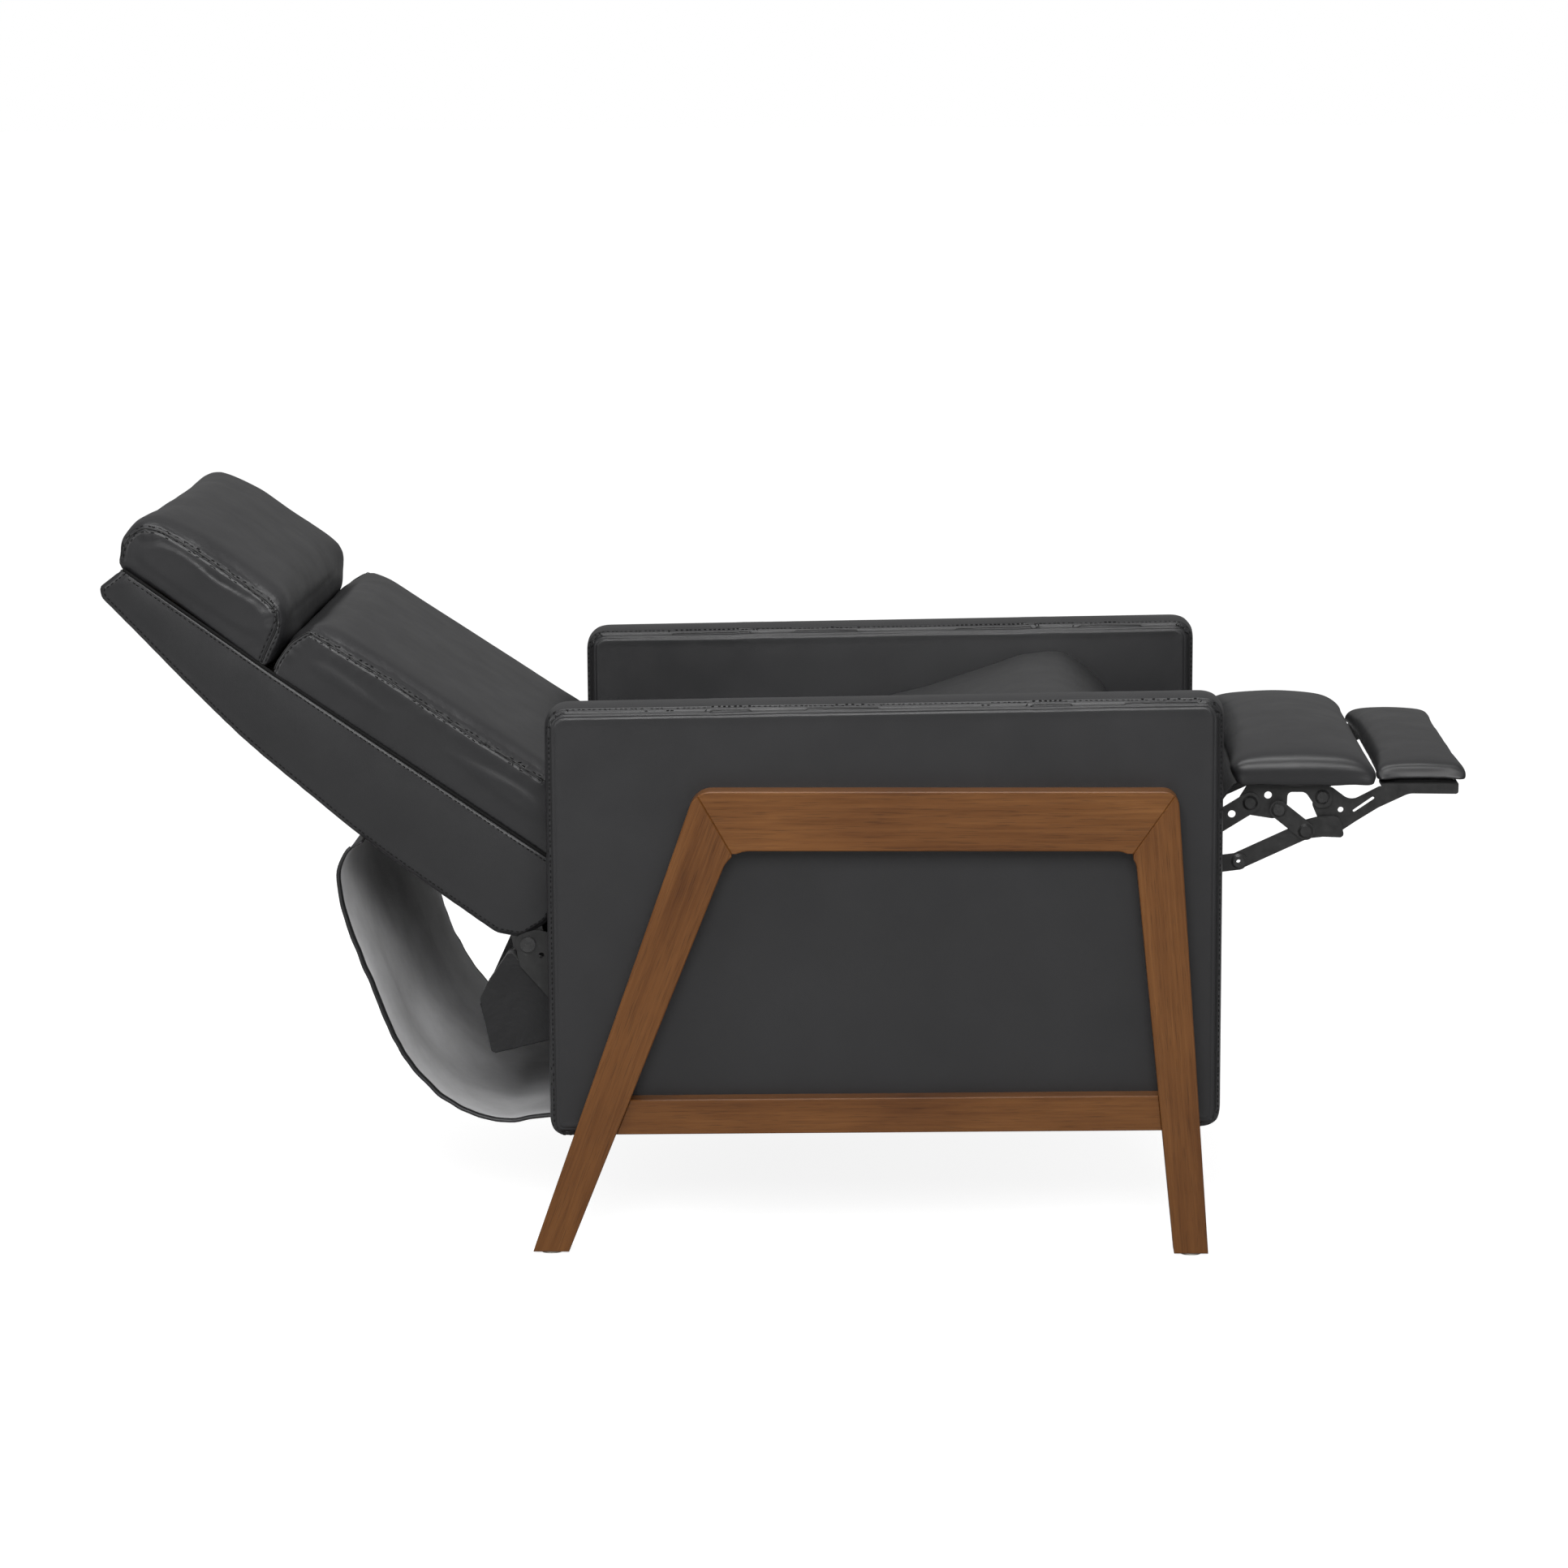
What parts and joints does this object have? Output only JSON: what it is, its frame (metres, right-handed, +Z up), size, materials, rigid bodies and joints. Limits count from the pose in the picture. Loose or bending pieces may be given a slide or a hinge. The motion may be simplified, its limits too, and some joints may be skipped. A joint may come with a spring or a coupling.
{
  "type": "recliner",
  "caption": "Push-back recliner with wood side frames, padded arms, a reclining back with headrest and a two-part folding footrest.",
  "frame": {"origin": "on the floor, under the centre of the chair's bounding box in the fully reclined rest pose", "axes": "+X is the way the sitter faces, towards the footrest, +Y is the sitter's left, +Z is up"},
  "size_m": [1.4284, 0.708, 0.7645],
  "materials": {
    "upholstery": "satin charcoal-black faux leather over foam",
    "cover_skin": "satin charcoal-black faux leather over thin foam",
    "walnut_wood": "medium brown walnut stain, satin lacquer",
    "hidden_wood": "raw plywood and softwood",
    "black_steel": "black painted sheet steel, low sheen",
    "rivet_steel": "black rivets and bolts, rubbed edges",
    "plain_steel": "zinc-plated steel",
    "nylon": "plain nylon",
    "black_cloth": "thin black non-woven cloth",
    "webbing": "woven elastic straps"
  },
  "bodies": {
    "base": {"right_arm_cover": "cover_skin", "right_arm_frame": "hidden_wood", "right_top_rail": "walnut_wood", "right_front_leg": "walnut_wood", "right_rear_leg": "walnut_wood", "right_stretcher": "walnut_wood", "right_slide_rail": "plain_steel", "left_arm_cover": "cover_skin", "left_arm_frame": "hidden_wood", "left_top_rail": "walnut_wood", "left_front_leg": "walnut_wood", "left_rear_leg": "walnut_wood", "left_stretcher": "walnut_wood", "left_slide_rail": "plain_steel", "frame_bolts": "plain_steel", "floor_glides": "nylon", "front_cross_rail": "hidden_wood", "rear_cross_rail": "hidden_wood", "slide_rail_screws": "plain_steel"},
    "carriage": {"right_carriage_plate": "black_steel", "left_carriage_plate": "black_steel", "slide_blocks": "nylon", "carriage_tubes": "black_steel", "tilt_bolts": "rivet_steel"},
    "seat": {"right_seat_board": "hidden_wood", "left_seat_board": "hidden_wood", "seat_front_rail": "hidden_wood", "seat_rear_rail": "hidden_wood", "seat_springs": "plain_steel", "seat_cushion": "upholstery", "dust_cover": "black_cloth", "link_mounts": "black_steel", "seat_hinge_plates": "black_steel", "recline_bolts": "rivet_steel", "footrest_flap": "cover_skin"},
    "back": {"right_back_post": "hidden_wood", "left_back_post": "hidden_wood", "back_top_rail": "hidden_wood", "back_lower_rail": "hidden_wood", "back_webbing": "webbing", "back_shell": "cover_skin", "lumbar_cushion": "upholstery", "headrest_cushion": "upholstery", "back_brackets": "black_steel", "rear_skirt": "cover_skin"},
    "lower_link": {"lower_links": "black_steel", "lower_link_rivets": "rivet_steel"},
    "upper_link": {"upper_links": "black_steel"},
    "footrest": {"footrest_brackets": "black_steel", "footrest_board": "hidden_wood", "footrest_pad": "upholstery", "bracket_rivets": "rivet_steel"},
    "flipper": {"flipper_brackets": "black_steel", "flipper_board": "hidden_wood", "flipper_pad": "upholstery"},
    "drive_link": {"drive_links": "black_steel"},
    "rocker": {"rocker_links": "black_steel"},
    "flipper_link": {"flipper_links": "black_steel"}
  },
  "joints": [
    {"name": "seat_slide", "type": "slide", "parent": "base", "child": "carriage", "axis": [1, 0, 0], "range_m": [0, 0.075]},
    {"name": "seat_tilt", "type": "hinge", "parent": "carriage", "child": "seat", "pos_m": [-0.03327, 0, 0.3], "axis": [0, 1, 0], "range_deg": [0, 11]},
    {"name": "back_recline", "type": "hinge", "parent": "seat", "child": "back", "pos_m": [-0.27077, 0, 0.308], "axis": [0, 1, 0], "range_deg": [0, 32], "deforming": ["rear_skirt"]},
    {"name": "lower_link_fold", "type": "hinge", "parent": "seat", "child": "lower_link", "pos_m": [0.32674, 0, 0.37312], "axis": [0, 1, 0], "range_deg": [0, 143.01], "deforming": ["footrest_flap"]},
    {"name": "upper_link_fold", "type": "hinge", "parent": "lower_link", "child": "upper_link", "pos_m": [0.44073, 0, 0.38711], "axis": [0, 1, 0], "range_deg": [-109.11, 0]},
    {"name": "footrest_fold", "type": "hinge", "parent": "upper_link", "child": "footrest", "pos_m": [0.49068, 0, 0.45315], "axis": [0, 1, 0], "range_deg": [0, 45.11]},
    {"name": "flipper_fold", "type": "hinge", "parent": "footrest", "child": "flipper", "pos_m": [0.56688, 0, 0.45885], "axis": [0, 1, 0], "range_deg": [0, 79.01]},
    {"name": "drive_link_fold", "type": "hinge", "parent": "lower_link", "child": "drive_link", "pos_m": [0.47865, 0, 0.39177], "axis": [0, 1, 0], "range_deg": [-118.11, 0]},
    {"name": "rocker_fold", "type": "hinge", "parent": "footrest", "child": "rocker", "pos_m": [0.52028, 0, 0.44695], "axis": [0, 1, 0], "range_deg": [0, 22.61]},
    {"name": "flipper_link_fold", "type": "hinge", "parent": "flipper", "child": "flipper_link", "pos_m": [0.57678, 0, 0.42825], "axis": [0, 1, 0], "range_deg": [-159.11, 0]}
  ],
  "couplings": [
    {"joint": "seat_tilt", "follows": "back_recline", "ratio": 0.34375},
    {"joint": "lower_link_fold", "follows": "seat_slide", "rad_per_m": 33.278},
    {"joint": "upper_link_fold", "follows": "seat_slide", "rad_per_m": -25.389},
    {"joint": "footrest_fold", "follows": "seat_slide", "rad_per_m": 10.495},
    {"joint": "flipper_fold", "follows": "seat_slide", "rad_per_m": 18.384},
    {"joint": "drive_link_fold", "follows": "seat_slide", "rad_per_m": -27.483},
    {"joint": "rocker_fold", "follows": "seat_slide", "rad_per_m": 5.2593},
    {"joint": "flipper_link_fold", "follows": "seat_slide", "rad_per_m": -37.024}
  ]
}
